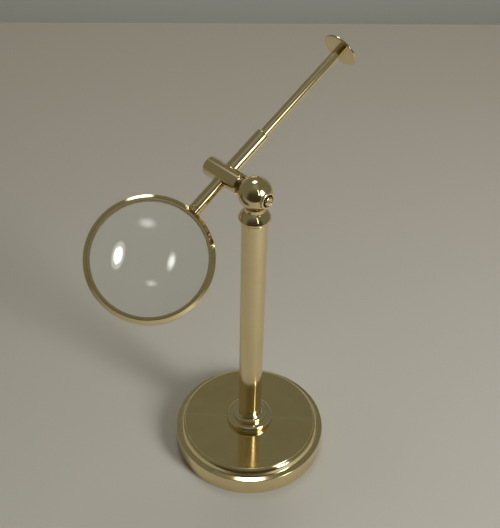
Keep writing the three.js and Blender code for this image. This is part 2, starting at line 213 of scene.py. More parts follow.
class Graph:
    # a small bench for wiring the nodes of a material, a lamp or the world

    def __init__(self, owner):
        self.owner = owner
        owner.use_nodes = True
        self.tree = owner.node_tree
        self.tree.nodes.clear()

    def add(self, kind, sockets=None, **settings):
        node = self.tree.nodes.new("ShaderNode" + kind)
        for key, value in settings.items():
            setattr(node, key, value)
        for key, value in (sockets or {}).items():
            socket = node.inputs[key]
            if isinstance(value, bpy.types.NodeSocket):
                self.tree.links.new(value, socket)
            else:
                socket.default_value = value
        return node

    def math(self, operation, first, second=0.0, clamp=False):
        return self.add("Math", {0: first, 1: second}, operation=operation, use_clamp=clamp).outputs[0]

    def span(self, value, fromLow, fromHigh, toLow=0, toHigh=1, curve="LINEAR"):
        names = ("From Min", "From Max", "To Min", "To Max")
        sockets = dict(zip(names, (fromLow, fromHigh, toLow, toHigh)), Value=value)
        return self.add("MapRange", sockets, interpolation_type=curve).outputs["Result"]

    def noise(self, vector, scale, detail, roughness):
        sockets = {"Vector": vector, "Scale": scale, "Detail": detail, "Roughness": roughness}
        return self.add("TexNoise", sockets).outputs["Fac"]

    def blend(self, amount, first, second):
        # colour sockets go by number, because the node's other sockets share their names
        return self.add("Mix", {0: amount, 6: first, 7: second}, data_type="RGBA").outputs[2]

    def seated(self, seat):
        # object coordinates turned and moved to a piece's own axis
        spot, turn, _ = seat.decompose()
        own = self.add("TexCoord").outputs["Object"]
        sockets = {"Vector": own, "Location": spot, "Rotation": turn.to_euler()}
        return self.add("Mapping", sockets, vector_type="TEXTURE").outputs["Vector"]

    def stretched(self, vector, scale):
        return self.add("Mapping", {"Vector": vector, "Scale": scale}).outputs["Vector"]

    def bump(self, height, strength, distance, normal=None):
        sockets = {"Height": height, "Strength": strength, "Distance": distance}
        if normal:
            sockets["Normal"] = normal
        return self.add("Bump", sockets).outputs["Normal"]

    def output(self, kind, surface):
        self.add("Output" + kind, {"Surface": surface})
        return self.owner

    def finish(self, sockets):
        shader = self.add("BsdfPrincipled", sockets)
        return self.output("Material", shader.outputs["BSDF"])


def newMaterial(name, seat):
    graph = Graph(bpy.data.materials.new(name))
    return graph, graph.seated(seat)


# Brass: polished, with buffing lines, faint scratches, hand tarnish, painted shade with polish grime in the
# corners, and a painted highlight with rubbed wear on the edges

brass = {
    "colour": (0.87, 0.72, 0.435, 1),
    "tarnish": (0.72, 0.56, 0.29, 1),
    # painted shade, with polish grime, for the hollows of the shape
    "cornerShadeAndGrime": (0.30, 0.19, 0.07, 1),
    "highlightAndRubbed": (0.94, 0.82, 0.56, 1),   # painted highlight on the edges, with the wear that hands and cloths rub bright
    "toneScale": 38.0,                 # patches of tarnish, per metre
    "tone": 0.32,                      # how far tarnish takes the colour
    "toneRange": (0.42, 0.70),         # where in its noise a patch starts and is full
    "cloudRange": (0.60, 0.80),
    "cloud": 0.10,
    "cornerShadeAndGrimeRange": (0.485, 0.44),      # where hollows and ridges of the shape start and are full
    "cornerShadeAndGrimeAmount": 0.75,
    "highlightAndRubbedRange": (0.515, 0.56),
    "highlightAndRubbedAmount": 0.5,
    "roughness": 0.075,
    "roughnessSpread": 0.05,
    "roughnessRange": (0.35, 0.70),
    "roughLines": 0.03,
    "roughScratches": 0.04,
    "roughCorners": 0.25,
    "lines": 2600.0,                   # buffing lines, per metre
    "lineStrength": 0.035,
    "lineDepth": 0.02,
    "broad": 9,                        # how many times broader the second lines are
    "broadStrength": 1.6,
    "broadDepth": 0.06,
    "scratches": (((7200, 210, 900), 0.66), ((260, 6400, 800), 0.67)),    # each way's stretch and how rare
    "scratchStrength": 0.03,
    "scratchDepth": 0.01,
}


def makeBrass(name, seat, changes=None):
    look = dict(brass, **(changes or {}))
    graph, own = newMaterial(name, seat)
    parts = graph.add("SeparateXYZ", {"Vector": own}).outputs
    square = graph.math("ADD", graph.math("MULTIPLY", parts["X"], parts["X"]),
                        graph.math("MULTIPLY", parts["Y"], parts["Y"]))
    radius = graph.math("SQRT", square)

    # lines that run round the piece, from turning and buffing it in the lathe
    ringed = graph.add("CombineXYZ", {"X": radius, "Z": parts["Z"]}).outputs[0]
    lines = graph.noise(ringed, look["lines"], detail=3, roughness=0.6)
    broadLines = graph.noise(ringed, look["lines"] / look["broad"], detail=2, roughness=0.5)

    # stray hairlines, two ways across the piece
    ways = []
    for stretch, rare in look["scratches"]:
        way = graph.noise(graph.stretched(own, stretch), 1.0, detail=1, roughness=0.4)
        ways.append(graph.span(way, rare, rare + 0.10))
    scratches = graph.math("MAXIMUM", *ways)

    # tarnish in soft patches, painted shade with polish grime in the corners, and a painted highlight with
    # rubbed wear on the edges
    patches = graph.noise(own, look["toneScale"], detail=4, roughness=0.62)
    clouds = graph.noise(own, look["toneScale"] * 5, detail=3, roughness=0.6)
    tarnish = graph.math("MULTIPLY", graph.span(patches, *look["toneRange"]), look["tone"])
    tarnish = graph.math("ADD", tarnish, graph.span(clouds, *look["cloudRange"], 0, look["cloud"]), True)
    shape = graph.add("NewGeometry").outputs["Pointiness"]
    # painted shade, with polish grime, in the hollows of the shape
    cornerShadeAndGrime = graph.span(shape, *look["cornerShadeAndGrimeRange"], 0, look["cornerShadeAndGrimeAmount"])
    # painted highlight, with rubbed wear, on the ridges of the shape
    edge = graph.span(shape, *look["highlightAndRubbedRange"])
    colour = graph.blend(tarnish, look["colour"], look["tarnish"])
    colour = graph.blend(cornerShadeAndGrime, colour, look["cornerShadeAndGrime"])
    colour = graph.blend(graph.math("MULTIPLY", edge, look["highlightAndRubbedAmount"]), colour, look["highlightAndRubbed"])

    low = look["roughness"]
    roughness = graph.span(patches, *look["roughnessRange"], low, low + look["roughnessSpread"])
    roughness = graph.math("ADD", roughness, graph.span(lines, 0.45, 0.75, 0, look["roughLines"]))
    roughness = graph.math("ADD", roughness, graph.math("MULTIPLY", scratches, look["roughScratches"]))
    roughness = graph.math("ADD", roughness, graph.math("MULTIPLY", cornerShadeAndGrime, look["roughCorners"]), True)

    strength = look["lineStrength"]
    normal = graph.bump(lines, strength, look["lineDepth"] * mm)
    normal = graph.bump(broadLines, strength * look["broadStrength"], look["broadDepth"] * mm, normal)
    normal = graph.bump(scratches, look["scratchStrength"], -look["scratchDepth"] * mm, normal)
    return graph.finish({"Base Color": colour, "Metallic": 1.0, "Roughness": roughness, "Normal": normal})


# Steel fastenings, cast iron slug, green baize (scales per metre, depths in millimetres)

steel = {
    "colour": (0.50, 0.50, 0.51, 1),
    "dull": (0.30, 0.28, 0.26, 1),
    "dullScale": 220,
    "marks": (300, 300, 4200),
    "markDepth": 0.03,
    "roughness": (0.28, 0.48),
}
iron = {
    "colour": (0.045, 0.045, 0.048, 1),
    "rust": (0.12, 0.06, 0.03, 1),
    "rustScale": 70,
    "grain": 900,
    "grainDepth": 0.35,
    "roughness": (0.55, 0.85),
}
baize = {
    "colour": (0.020, 0.085, 0.032, 1),
    "worn": (0.060, 0.130, 0.062, 1),
    "wornScale": 45,
    "deep": (0.006, 0.028, 0.010, 1),
    "fibres": 2600.0,
    "pileDepth": 0.3,
}


def makeSteel():
    graph, own = newMaterial("turnedSteel", columnSeat)
    patches = graph.noise(own, steel["dullScale"], detail=4, roughness=0.6)
    marks = graph.noise(graph.stretched(own, steel["marks"]), 1.0, detail=3, roughness=0.6)
    return graph.finish({
        "Base Color": graph.blend(graph.span(patches, 0.45, 0.75, 0, 0.8), steel["colour"], steel["dull"]),
        "Metallic": 1.0,
        "Roughness": graph.span(marks, 0.3, 0.8, *steel["roughness"]),
        "Normal": graph.bump(marks, 0.12, steel["markDepth"] * mm),
    })


def makeIron():
    graph, own = newMaterial("castIron", columnSeat)
    grain = graph.noise(own, iron["grain"], detail=5, roughness=0.65)
    stains = graph.noise(own, iron["rustScale"], detail=4, roughness=0.6)
    return graph.finish({
        "Base Color": graph.blend(graph.span(stains, 0.52, 0.75, 0, 0.8), iron["colour"], iron["rust"]),
        "Metallic": 0.4,
        "Roughness": graph.span(grain, 0.3, 0.8, *iron["roughness"]),
        "Normal": graph.bump(grain, 0.55, iron["grainDepth"] * mm),
    })


def makeBaize():
    graph, own = newMaterial("greenBaize", columnSeat)
    scale = baize["fibres"]
    fibres = graph.noise(graph.stretched(own, (1, 0.55, 1)), scale, detail=4, roughness=0.7)
    crossed = graph.noise(graph.stretched(own, (0.5, 1, 1)), scale * 0.8, detail=4, roughness=0.7)
    pile = graph.math("MULTIPLY", graph.math("ADD", fibres, crossed), 0.5)
    worn = graph.noise(own, baize["wornScale"], detail=4, roughness=0.6)
    colour = graph.blend(graph.span(worn, 0.45, 0.72, 0, 0.7), baize["colour"], baize["worn"])
    colour = graph.blend(graph.span(pile, 0.36, 0.62, 0.45, 0), colour, baize["deep"])
    return graph.finish({
        "Base Color": colour,
        "Roughness": graph.span(pile, 0.3, 0.7, 0.85, 1.0),
        "Sheen Weight": 0.35,
        "Sheen Roughness": 0.5,
        "Normal": graph.bump(pile, 0.8, baize["pileDepth"] * mm),
    })


# Clear glass with a trace of green and the faintest wiping marks

glass = {
    "colour": (0.955, 0.985, 0.960, 1),
    "smeared": (0.930, 0.962, 0.935, 1),
    "wiping": (60, 260, 60),
    "roughness": 0.018,
    "index": 1.52,
}


def makeGlass():
    graph, own = newMaterial("lensGlass", lensSeat)
    wiped = graph.noise(graph.stretched(own, glass["wiping"]), 1.0, detail=3, roughness=0.6)
    smears = graph.span(wiped, 0.50, 0.80)
    return graph.finish({
        "Base Color": graph.blend(smears, glass["colour"], glass["smeared"]),
        "Roughness": graph.span(wiped, 0.55, 0.85, 0.0, glass["roughness"]),
        "IOR": glass["index"],
        "Transmission Weight": 1.0,
    })


# dark tarnished brass that also paints the shade in the screw's well, on the far boss and on the washer in
# the gap between ball and crossbar
agedAndShadedLook = {
    "colour": (0.30, 0.20, 0.09, 1),
    "tarnish": (0.10, 0.06, 0.02, 1),
    "tone": 0.8,
    "toneScale": 300.0,
    "roughness": 0.28,
    "roughnessSpread": 0.15,
}
plateLook = {"colour": (0.87, 0.735, 0.43, 1), "lineStrength": 0.012}
plateBrass = makeBrass("basePlateBrass", columnSeat, plateLook)
collarBrass = makeBrass("footCollarBrass", columnSeat, {"colour": (0.86, 0.75, 0.50, 1)})
columnBrass = makeBrass("columnBrass", columnSeat, {"toneScale": 30.0})
crossbarBrass = makeBrass("crossbarBrass", crossbarSeat)
armBrass = makeBrass("armBrass", armSeat)
lensBrass = makeBrass("lensFrameBrass", lensSeat)
agedAndShadedBrass = makeBrass("agedAndShadedBrass", crossbarSeat, agedAndShadedLook)
turnedSteel = makeSteel()
castIron = makeIron()
greenBaize = makeBaize()
lensGlass = makeGlass()
print("materials made")


# Base: one hollow brass turning with a polished plate, a fine step, an ogee moulding and a plain wall

baseLook = {
    "moulding": 7.8,          # from the plate's edge to the wall
    "lipRound": 0.5,
    "lipDrop": 0.7,
    "lipStep": 0.2,
    "crown": 62,              # the ogee's slopes in degrees: where it starts, at its steepest, on its ledge
    "steep": 26,
    "flat": 77,
    "ovolo": 5.4,
    "cove": 1.2,
    "wallHeight": 15.9,
    "arris": 0.5,
    "wall": 2.5,
    "plate": 3.2,
    "shoulder": 2.5,          # how far inside the plate's edge the cavity begins to slope
    "shoulderHeight": 13.4,
    "edgeBreak": 0.1,
    "weightPlay": 0.3,
    "weightBreak": 0.6,
    "around": 192,
    "weightAround": 128,
}


def makeBaseShell():
    look = baseLook
    size = measure("base_shell")
    top, outer = size["top"], size["outer"]
    arris, cove, ovolo = look["arris"], look["cove"], look["ovolo"]
    crown, steep, flat = (math.radians(look[slope]) for slope in ("crown", "steep", "flat"))
    plateEdge = outer - look["moulding"]
    ovoloMiddle = plateEdge + look["lipStep"] - ovolo * math.cos(crown)
    ovoloHeight = top - look["lipDrop"] - ovolo * math.sin(crown)
    wallTop = look["wallHeight"] - arris
    ledgeEnd = outer - arris * (1 - math.cos(flat))
    # the straight run between ovolo and cove takes up what is left of the height beside the ledge
    out = ledgeEnd - ovoloMiddle - ovolo * math.cos(steep)
    out -= cove * (math.cos(steep) - math.cos(flat))
    down = ovoloHeight + ovolo * math.sin(steep) - cove * (math.sin(flat) - math.sin(steep))
    down -= wallTop + arris * math.sin(flat)
    ledge = (out * math.cos(steep) - down * math.sin(steep)) / math.sin(flat - steep)
    coveMiddle = ledgeEnd - ledge * math.sin(flat) + cove * math.cos(flat)
    coveHeight = wallTop + (arris + cove) * math.sin(flat) + ledge * math.cos(flat)
    cavity = outer - look["wall"]
    plateUnder = top - look["plate"]
    lip = look["lipRound"]
    outline = [(cavity, size["bottom"]), (outer, size["bottom"])]
    outline += roundStretch(outer - arris, wallTop, arris, 0, look["flat"], steps=8)
    outline += roundStretch(coveMiddle, coveHeight, cove, 180 + look["flat"], 180 + look["steep"])
    outline += roundStretch(ovoloMiddle, ovoloHeight, ovolo, look["steep"], look["crown"], steps=14)
    outline += roundStretch(plateEdge - lip, top - lip, lip, 0, 90, steps=6)
    outline += [(size["inner"], top), (size["inner"], plateUnder)]
    outline += [(plateEdge - look["shoulder"], plateUnder), (cavity, look["shoulderHeight"])]
    piece = turnPiece("baseTurning", outline, look["around"])
    breakEdges(piece, look["edgeBreak"])
    finishPiece(piece, columnSeat, "stand", ["base_shell"], plateBrass)


def makeBaseWeight():
    look = baseLook
    size = measure("base_weight")
    plateEdge = measure("base_shell")["outer"] - look["moulding"]
    outline = [
        (size["inner"], size["bottom"]),
        (size["outer"], size["bottom"]),
        (size["outer"], look["shoulderHeight"] - look["weightPlay"]),
        (plateEdge - look["shoulder"] - look["weightPlay"], size["top"]),
        (size["inner"], size["top"]),
    ]
    piece = turnPiece("ironSlugTurning", outline, look["weightAround"])
    breakEdges(piece, look["weightBreak"], segments=2, sharp=25)
    finishPiece(piece, columnSeat, "stand", ["base_weight"], castIron)


# Baize disc under the base, with soft edges

feltLook = {"edge": 0.35, "around": 128}


def makeBaseFelt():
    size = measure("base_felt")
    outline = [(0, size["bottom"])]
    outline += roundRim(size["outer"], size["bottom"], size["top"], feltLook["edge"], steps=4)
    outline += [(0, size["top"])]
    piece = turnPiece("baizeDisc", outline, feltLook["around"], closed=False)
    finishPiece(piece, columnSeat, "stand", ["base_felt"], greenBaize)


# Foot collar: half-round flange, bead and a short cone round the foot of the column

collarLook = {
    "flange": 2.7,
    "bead": 1.6,
    "beadReach": 2.9,
    "taper": 0.7,
    "lipPlay": 0.3,
    "lipWall": 0.35,
    "floor": 4.8,
    "play": 0.08,
    "edgeBreak": 0.08,
    "around": 128,
}


def makeFootCollar():
    look = collarLook
    size = measure("foot_collar")
    column = measure("column_tube")
    bore = column["outer"] + look["play"]
    flange, bead = look["flange"], look["bead"]
    flangeTop = size["bottom"] + flange * 2
    beadTop = flangeTop + bead * 2
    lip = column["outer"] + look["lipPlay"] + look["lipWall"]
    cone = lip + look["taper"]
    beadRadius = cone + look["beadReach"]
    floor = size["bottom"] + look["floor"]
    outline = [(size["inner"], size["bottom"])]
    outline += roundStretch(size["outer"] - flange, size["bottom"] + flange, flange, -90, 90, steps=20)
    outline += roundStretch(beadRadius - bead, flangeTop + bead, bead, -90, 90, steps=16)
    outline += [(cone, beadTop), (lip, size["top"]), (bore, size["top"])]
    outline += [(bore, floor), (size["inner"], floor)]
    piece = turnPiece("footCollarTurning", outline, look["around"])
    breakEdges(piece, look["edgeBreak"])
    finishPiece(piece, columnSeat, "stand", ["foot_collar"], collarBrass)


# Column tube

columnLook = {"endBreak": 0.25, "around": 128}


def makeColumnTube():
    size, edge, around = measure("column_tube"), columnLook["endBreak"], columnLook["around"]
    makeTube("columnTurning", size, edge, columnSeat, "stand", "column_tube", columnBrass, around)


# Column cap: a dome with a keen edge, undercut down to the tube, on a spigot in the tube

capLook = {
    "seatOverhang": 0.25,
    "edgeRise": 2.9,
    "edgeRound": 0.3,
    "edgeDegrees": 17,        # how far the dome leans in right at its edge
    "waist": 7.6,
    "waistDrop": 0.2,
    "spigot": 7.8,
    "spigotLength": 10.0,
    "edgeBreak": 0.08,
    "around": 128,
}


def makeColumnCap():
    look = capLook
    size = measure("column_cap")
    seat = size["bottom"] + look["spigotLength"]
    seatRadius = measure("column_tube")["outer"] + look["seatOverhang"]
    edge = look["edgeRound"]
    lean = math.radians(look["edgeDegrees"])
    edgeMiddle = (size["outer"] - edge, seat + look["edgeRise"])
    rim = (edgeMiddle[0] + edge * math.cos(lean), edgeMiddle[1] + edge * math.sin(lean))
    waist = (look["waist"], size["top"] - look["waistDrop"])
    middle = math.atan2(rim[0] - waist[0], waist[1] - rim[1])
    dome = math.dist(rim, waist) / (2 * math.sin(middle - lean))
    domeMiddle = (rim[0] - dome * math.cos(lean), rim[1] - dome * math.sin(lean))
    domeEnd = 2 * math.degrees(middle) - look["edgeDegrees"]
    outline = [(size["inner"], size["bottom"]), (look["spigot"], size["bottom"])]
    outline += [(look["spigot"], seat), (seatRadius, seat), (seatRadius, edgeMiddle[1] - edge)]
    outline += roundStretch(*edgeMiddle, edge, -90, look["edgeDegrees"], steps=7)
    outline += roundStretch(*domeMiddle, dome, look["edgeDegrees"], domeEnd, steps=18)[1:]
    outline += [(look["waist"], size["top"]), (size["inner"], size["top"])]
    piece = turnPiece("capTurning", outline, look["around"])
    breakEdges(piece, look["edgeBreak"], segments=2, sharp=50)
    finishPiece(piece, columnSeat, "stand", ["column_cap"], columnBrass)


# Ball: turned in one with its neck and spigot, bored across for the crossbar's journal

ballLook = {
    "ball": 12.4,
    "neck": 7.6,
    "neckRound": 4.0,
    "spigot": 3.9,
    "boss": 6.2,
    "bossReach": 13.0,
    "bossRound": 0.45,
    # from here along the bore, the boss gets painted shade
    "bossShadeFrom": 10.6,
    "bossMargin": 0.05,
    "bore": 3.35,
    "well": 4.6,
    "wellFloor": 9.0,
    "wellFlare": 0.25,
    "wellMargin": 0.03,
    "overrun": 1.0,           # of the cutter past the bosses
    "seatPlay": 0.1,
    "around": 128,
}


def makeBoss():
    look = ballLook
    reach = look["bossReach"]
    outline = [(0, -reach)]
    outline += roundRim(look["boss"], -reach, reach, look["bossRound"], steps=5)
    outline += [(0, reach)]
    return turnTool("bossTool", outline, crossbarSeat)


def makeBossCutter():
    # the journal's bore and, on the camera's side, the wider well for the screw, with its mouth flared
    look = ballLook
    reach = look["bossReach"]
    end = reach + look["overrun"]
    outline = [
        (0, -end),
        (look["well"] + look["wellFlare"] + look["overrun"], -end),
        (look["well"], look["wellFlare"] - reach),
        (look["well"], -look["wellFloor"]),
        (look["bore"], -look["wellFloor"]),
        (look["bore"], end),
        (0, end),
    ]
    return turnTool("boreTool", outline, crossbarSeat)


def paintWellShade(piece):
    # the bored faces and the far boss, which the polishing mop misses, get dark tarnished brass that also
    # paints the shade in the well and the gap: picked by place along the bore's axis
    look = ballLook
    piece.data.materials.append(agedAndShadedBrass)
    back = crossbarSeat.inverted()
    for face in piece.data.polygons:
        spot = back @ face.center / mm
        away = math.hypot(spot.x, spot.y)
        farBoss = away < look["boss"] + look["bossMargin"] and spot.z > look["bossShadeFrom"]
        if farBoss or away < look["well"] + look["wellMargin"]:
            face.material_index = 1


def makeKnuckleBall():
    look = ballLook
    size = measure("knuckle_ball")
    neckEnd = measure("column_cap")["top"] + look["seatPlay"]
    middle = ballCentre.z / mm
    filletMiddle = look["neck"] + look["neckRound"]
    drop = math.sqrt((look["ball"] + look["neckRound"]) ** 2 - filletMiddle ** 2)
    join = math.degrees(math.atan2(drop, filletMiddle))
    outline = [(0, size["bottom"]), (look["spigot"], size["bottom"]), (look["spigot"], neckEnd)]
    outline += [(look["neck"], neckEnd)]
    outline += roundStretch(filletMiddle, middle - drop, look["neckRound"], 180, 180 - join, steps=12)
    outline += roundStretch(0, middle, look["ball"], -join, 90, steps=44)[1:]
    outline[-1] = (0, middle + look["ball"])
    piece = turnPiece("ballTurning", outline, look["around"], closed=False)
    combine(piece, makeBoss(), "UNION")
    combine(piece, makeBossCutter())
    finishPiece(piece, columnSeat, "head", ["knuckle_ball"], columnBrass, smooth=35)
    paintWellShade(piece)


# Crossbar: a round bar with a journal at its near end and a stepped cross hole for the arm

crossbarLook = {
    "bevel": 0.7,
    "journal": 3.2,
    "tapped": 1.9,
    "tappedEnd": 0.6,
    "washerRoom": 1.1,        # between the ball's boss and the bar
    "overrun": 2.0,           # of the arm's hole past the bar
    "play": 0.1,
    "edgeBreak": 0.18,
    "around": 128,
}


def makeArmHole():
    look = crossbarLook
    crossbar = measure("crossbar", crossbarSeat)
    guide = measure("guide_tube", armSeat)
    sleeve = measure("sleeve_tube", armSeat)
    reach = crossbar["outer"] + look["overrun"]
    narrow = armLook["guide"] + look["play"]
    wide = sleeve["outer"] + look["play"]
    ledge = -armLook["collarBottom"] - look["play"]
    outline = [(0, -reach), (narrow, -reach), (narrow, ledge), (wide, ledge), (wide, reach), (0, reach)]
    return turnTool("armHoleTool", outline, armSeat)


def makeCrossbar():
    look = crossbarLook
    size = measure("crossbar", crossbarSeat)
    near = ballLook["bossReach"] + look["washerRoom"]
    bevelled = size["outer"] - look["bevel"]
    outline = [
        (0, look["tappedEnd"]),
        (look["tapped"], look["tappedEnd"]),
        (look["tapped"], size["bottom"]),
        (look["journal"], size["bottom"]),
        (look["journal"], near),
        (bevelled, near),
        (size["outer"], near + look["bevel"]),
        (size["outer"], size["top"] - look["bevel"]),
        (bevelled, size["top"]),
        (0, size["top"]),
    ]
    piece = turnPiece("crossbarTurning", outline, look["around"], closed=False)
    breakEdges(piece, look["edgeBreak"])
    place(piece, crossbarSeat)
    combine(piece, makeArmHole())
    finishPiece(piece, columnSeat, "arm_carrier", ["crossbar"], crossbarBrass)


washerLook = {"nearer": 0.2, "thinner": 0.05, "edgeBreak": 0.12}


def makeThrustWasher():
    size = measure("thrust_washer", crossbarSeat)
    size["bottom"] -= washerLook["nearer"]
    size["top"] -= washerLook["thinner"]
    edge, seat = washerLook["edgeBreak"], crossbarSeat
    # the washer in the gap gets painted shade, as dark tarnished brass
    makeTube("thrustWasherTurning", size, edge, seat, "arm_carrier", "thrust_washer", agedAndShadedBrass)


# Pivot screw: slotted head that stands a little proud of the ball's well

screwLook = {
    "headPlay": 1.15,
    "proud": 1.2,
    "headRound": 1.0,
    "washerRoom": 1.2,
    "shank": 1.6,
    "shankTip": 0.2,
    "slotWidth": 0.9,
    "slotDepth": 1.2,
    "slotDegrees": 25,
}


def makeSlotTool(radius, width, depth, top, degrees):
    # a block for a slot across an end, longer than the end is wide and half of it above the top
    startFresh()
    bpy.ops.mesh.primitive_cube_add(size=1)
    piece = bpy.context.object
    sized = Matrix.Diagonal((radius * 3 * mm, width * mm, depth * 2 * mm, 1))
    place(piece, Matrix.Translation((0, 0, top * mm)) @ spinBy(degrees, "Z") @ sized)
    return piece


def makePivotScrew():
    look = screwLook
    under = -ballLook["wellFloor"] - look["washerRoom"]
    head = ballLook["well"] - look["headPlay"]
    tip = -ballLook["bossReach"] - look["proud"]
    edge = look["headRound"]
    outline = [(0, tip)]
    outline += roundStretch(head - edge, tip + edge, edge, -90, 0, steps=6)
    outline += [(head, under), (look["shank"], under)]
    outline += [(look["shank"], look["shankTip"]), (0, look["shankTip"])]
    piece = turnPiece("pivotScrewTurning", outline, closed=False)
    slotTool = makeSlotTool(head, look["slotWidth"], look["slotDepth"], tip, look["slotDegrees"])
    combine(piece, slotTool)
    finishPiece(piece, crossbarSeat, "arm_carrier", ["pivot_screw"], crossbarBrass)


# Arm: outer sleeve with its end ring, sprung guide tube, rod, disc and ferrule

armLook = {
    "guide": 4.9,
    "collarTop": 1.2,
    "collarBottom": 2.9,
    "springSlot": 0.7,
    "springSlotLength": 12.0,
    "rod": 3.8,
    "rodTail": 1.8,
    "rodTip": 2.2,
    "jointPlay": 0.06,
    "discRound": 0.9,
    "discPlay": 0.05,
    "discBreak": 0.05,
    "discAround": 144,
    "sleeveBreak": 0.12,
    "ringBreak": 0.3,
    "rodBreak": 0.15,
    "around": 96,
}


def makeSleeve():
    size = measure("sleeve_tube", armSeat)
    ring = measure("sleeve_ring", armSeat)
    size["top"] = ring["bottom"] - armLook["jointPlay"]
    both = (
        ("sleeveTurning", size, armLook["sleeveBreak"], "sleeve_tube"),
        ("sleeveRingTurning", ring, armLook["ringBreak"], "sleeve_ring"),
    )
    for name, sizes, edge, node in both:
        makeTube(name, sizes, edge, armSeat, "arm_carrier", node, armBrass, armLook["around"])


def makeGuideTube():
    look = armLook
    size = measure("guide_tube", armSeat)
    outline = [
        (size["inner"], size["bottom"]),
        (look["guide"], size["bottom"]),
        (look["guide"], -look["collarBottom"]),
        (size["outer"], -look["collarBottom"]),
        (size["outer"], -look["collarTop"]),
        (look["guide"], -look["collarTop"]),
        (look["guide"], size["top"]),
        (size["inner"], size["top"]),
    ]
    piece = turnPiece("guideTurning", outline, look["around"])
    breakEdges(piece, look["sleeveBreak"])
    slot = look["springSlot"], look["springSlotLength"]
    for degrees in (0, 90):
        combine(piece, makeSlotTool(look["guide"], *slot, size["top"], degrees))
    finishPiece(piece, armSeat, "arm_guide", ["guide_tube"], armBrass)


def makeSlideRod():
    look = armLook
    size = measure("slide_rod", armSeat)
    shoulder = measure("guide_tube", armSeat)["bottom"]
    discSeat = measure("finger_disc", armSeat)["bottom"] - look["discPlay"]
    outline = [
        (0, size["bottom"]),
        (look["rodTail"], size["bottom"]),
        (look["rodTail"], shoulder),
        (look["rod"], shoulder),
        (look["rod"], discSeat),
        (look["rodTip"], discSeat),
        (look["rodTip"], size["top"]),
        (0, size["top"]),
    ]
    piece = turnPiece("rodTurning", outline, look["around"], closed=False)
    breakEdges(piece, look["rodBreak"])
    finishPiece(piece, armSeat, "lens_arm", ["slide_rod"], armBrass)


def makeFingerDisc():
    look = armLook
    size = measure("finger_disc", armSeat)
    hole = look["rodTip"] + look["jointPlay"]
    outline = [(hole, size["bottom"])]
    outline += roundRim(size["outer"], size["bottom"], size["top"], look["discRound"], steps=8)
    outline += [(hole, size["top"])]
    piece = turnPiece("discTurning", outline, look["discAround"])
    breakEdges(piece, look["discBreak"])
    finishPiece(piece, armSeat, "lens_arm", ["finger_disc"], armBrass)


# Lens frame: a ring with sloping faces and an inner lip, the ring that keeps the glass in, and the glass

lensLook = {
    "frameInner": 43.3,
    "lipWidth": 2.1,
    "lipDepth": 2.1,
    "frameSlope": 2.5,        # how far the faces fall from the inner to the outer edge
    "frameRound": 0.5,
    "frameBreak": 0.12,
    "drillDepth": 8.0,
    "drillMiddle": 3.5,       # outside the frame's bore
    "drillAround": 48,
    "ferruleBreak": 0.15,
    "retainerGrow": 0.2,
    "retainerBevel": 0.35,
    "retainerBreak": 0.1,
    "halfEdge": 2.0,
    "bulge": 4.4,
    "saddle": 1.5,
    "play": 0.05,
    "inset": 0.07,            # keeps the finer round inside the frame's own box
    "rimAround": 192,
    "around": 256,
}


def frameOutline(grow=0.0):
    look = lensLook
    size = measure("lens_frame", lensSeat)
    outer = size["outer"] + grow - look["inset"]
    half = size["top"] + grow
    edge = look["frameRound"]
    slope = math.degrees(math.atan2(look["frameSlope"], size["outer"] - look["frameInner"]))
    shoulder = half - look["frameSlope"] - edge * (1 - math.sin(math.radians(slope)))
    outline = roundStretch(outer - edge, -shoulder, edge, slope - 90, 0, steps=6)
    outline += roundStretch(outer - edge, shoulder, edge, 0, 90 - slope, steps=6)
    return half, outline


def makeLensFrame():
    look = lensLook
    half, outline = frameOutline()
    lip = look["frameInner"] - look["lipWidth"]
    ledge = look["lipDepth"] - half
    outline = [(lip, -half)] + outline
    outline += [(look["frameInner"], half), (look["frameInner"], ledge), (lip, ledge)]
    piece = turnPiece("lensFrameTurning", outline, look["around"])
    breakEdges(piece, look["frameBreak"])
    place(piece, lensSeat)
    startFresh()
    bore = (armLook["rodTail"] + look["play"]) * mm
    depth = look["drillDepth"] * mm
    bpy.ops.mesh.primitive_cylinder_add(vertices=look["drillAround"], radius=bore, depth=depth)
    drill = bpy.context.object
    away = (look["frameInner"] + look["drillMiddle"]) * mm - lensReach
    place(drill, armSeat @ Matrix.Translation((0, 0, away)))
    combine(piece, drill)
    finishPiece(piece, columnSeat, "lens_arm", ["lens_frame"], lensBrass)


def makeRodFerrule():
    # the seat between tube and frame, with its lower end hollowed to saddle the frame's rim
    look = lensLook
    size = measure("rod_ferrule", armSeat)
    size["inner"] = armLook["rodTail"] + look["play"]
    size["bottom"] -= look["saddle"]
    piece = turnPiece("ferruleTurning", tubeOutline(**size))
    breakEdges(piece, look["ferruleBreak"])
    place(piece, armSeat)
    half, rim = frameOutline(look["play"])
    rim = [(look["frameInner"], -half)] + rim + [(look["frameInner"], half)]
    tool = turnPiece("rimTool", rim, look["rimAround"])
    place(tool, lensSeat)
    combine(piece, tool)
    finishPiece(piece, columnSeat, "lens_arm", ["rod_ferrule"], armBrass)


def makeRetainingRing():
    look = lensLook
    size = measure("retaining_ring", lensSeat)
    outer = size["outer"] + look["retainerGrow"]
    outline = [
        (size["inner"], size["bottom"]),
        (outer, size["bottom"]),
        (outer, size["top"]),
        (size["inner"] + look["retainerBevel"], size["top"]),
        (size["inner"], size["top"] - look["retainerBevel"]),
    ]
    piece = turnPiece("retainerTurning", outline, look["around"])
    breakEdges(piece, look["retainerBreak"])
    finishPiece(piece, lensSeat, "lens_arm", ["retaining_ring"], lensBrass)


